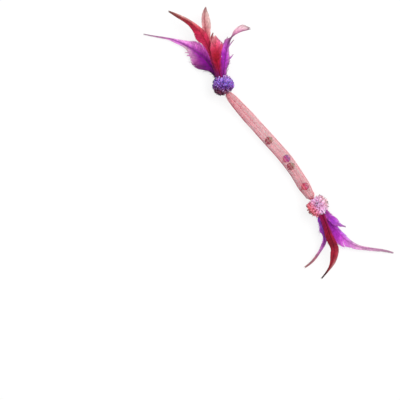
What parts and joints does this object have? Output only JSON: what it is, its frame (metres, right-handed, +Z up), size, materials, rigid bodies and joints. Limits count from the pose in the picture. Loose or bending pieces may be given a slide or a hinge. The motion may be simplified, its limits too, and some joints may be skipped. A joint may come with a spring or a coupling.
{
  "type": "cat teaser toy",
  "caption": "Soft double-ended cat teaser toy: a gently bent mesh sleeve with rattling bells inside, and a tinsel pompom with a bunch of dyed feathers gathered into each end.",
  "frame": {"origin": "on the table under the sleeve's centreline, where its long straight run meets its bend", "axes": "+X along the straight run towards the lower (pink) pompom, +Z up off the table that it lies on"},
  "size_m": [0.4155, 0.1506, 0.0332],
  "materials": {
    "sleeve_mesh": "open weave nylon mesh",
    "lashing_thread": "matte thread",
    "glue": "hot-melt glue",
    "tie_wire": "bright wire",
    "tinsel_violet": "metallised film",
    "tinsel_pink": "metallised film",
    "feather_violet": "dyed feather",
    "feather_red": "dyed feather",
    "feather_blush": "dyed feather",
    "bell_green": "lacquered, glossy",
    "bell_violet": "lacquered, glossy",
    "bell_red": "lacquered, glossy",
    "pellet_steel": "plain steel"
  },
  "bodies": {
    "sleeve": {"mesh_sleeve": "sleeve_mesh", "upper_lashing": "lashing_thread", "lower_lashing": "lashing_thread"},
    "upper_end": {"upper_glue_plug": "glue", "upper_pompom_tie": "tie_wire", "upper_pompom": "tinsel_violet", "upper_violet_streamer": "feather_violet", "upper_red_streamer": "feather_red", "upper_blush_feather": "feather_blush", "upper_small_red_feather": "feather_red", "upper_broad_red_feather": "feather_red", "upper_paddle_feather": "feather_violet"},
    "lower_end": {"lower_glue_plug": "glue", "lower_pompom_tie": "tie_wire", "lower_pompom": "tinsel_pink", "lower_violet_hook_feather": "feather_violet", "lower_crimson_feather": "feather_red", "lower_violet_plume": "feather_violet", "lower_small_violet_feather": "feather_violet"},
    "upper_green_bell": {"upper_green_bell": "bell_green"},
    "upper_green_pellet": {"upper_green_pellet": "pellet_steel"},
    "violet_bell": {"violet_bell": "bell_violet"},
    "violet_pellet": {"violet_pellet": "pellet_steel"},
    "lower_green_bell": {"lower_green_bell": "bell_green"},
    "lower_green_pellet": {"lower_green_pellet": "pellet_steel"},
    "red_bell": {"red_bell": "bell_red"},
    "red_pellet": {"red_pellet": "pellet_steel"}
  },
  "joints": [
    {"name": "upper_neck_bend", "type": "hinge", "parent": "sleeve", "child": "upper_end", "pos_m": [-0.096, 0, 0.0134], "axis": [0, 0, 1], "range_deg": [-14, 42]},
    {"name": "lower_neck_bend", "type": "hinge", "parent": "sleeve", "child": "lower_end", "pos_m": [0.07173, -0.00957, 0.0134], "axis": [0, 0, 1], "range_deg": [-34.5, 21.5]},
    {"name": "upper_green_bell_travel", "type": "slide", "parent": "sleeve", "child": "upper_green_bell", "axis": [1, 0, 0], "range_m": [-0.038, 0.011]},
    {"name": "upper_green_pellet_roll", "type": "hinge", "parent": "upper_green_bell", "child": "upper_green_pellet", "pos_m": [-0.018, -0.0009, 0.00605], "axis": [0, 1, 0], "range_deg": [-120, 120]},
    {"name": "violet_bell_travel", "type": "hinge", "parent": "sleeve", "child": "violet_bell", "pos_m": [0, -0.225, 0], "axis": [0, 0, -1], "range_deg": [-2.5, 0]},
    {"name": "violet_pellet_roll", "type": "hinge", "parent": "violet_bell", "child": "violet_pellet", "pos_m": [0.01385, 0.00048, 0.00605], "axis": [0.0613, 0.9981, 0], "range_deg": [-120, 120]},
    {"name": "lower_green_bell_travel", "type": "hinge", "parent": "sleeve", "child": "lower_green_bell", "pos_m": [0, -0.225, 0], "axis": [0, 0, -1], "range_deg": [0, 2.3]},
    {"name": "lower_green_pellet_roll", "type": "hinge", "parent": "lower_green_bell", "child": "lower_green_pellet", "pos_m": [0.02455, -0.00225, 0.00605], "axis": [0.1096, 0.994, 0], "range_deg": [-120, 120]},
    {"name": "red_bell_travel", "type": "slide", "parent": "sleeve", "child": "red_bell", "axis": [0.9826, -0.1856, 0], "range_m": [-0.011, 0.001]},
    {"name": "red_pellet_roll", "type": "hinge", "parent": "red_bell", "child": "red_pellet", "pos_m": [0.05539, -0.00557, 0.00605], "axis": [0.1856, 0.9826, 0], "range_deg": [-120, 120]}
  ]
}
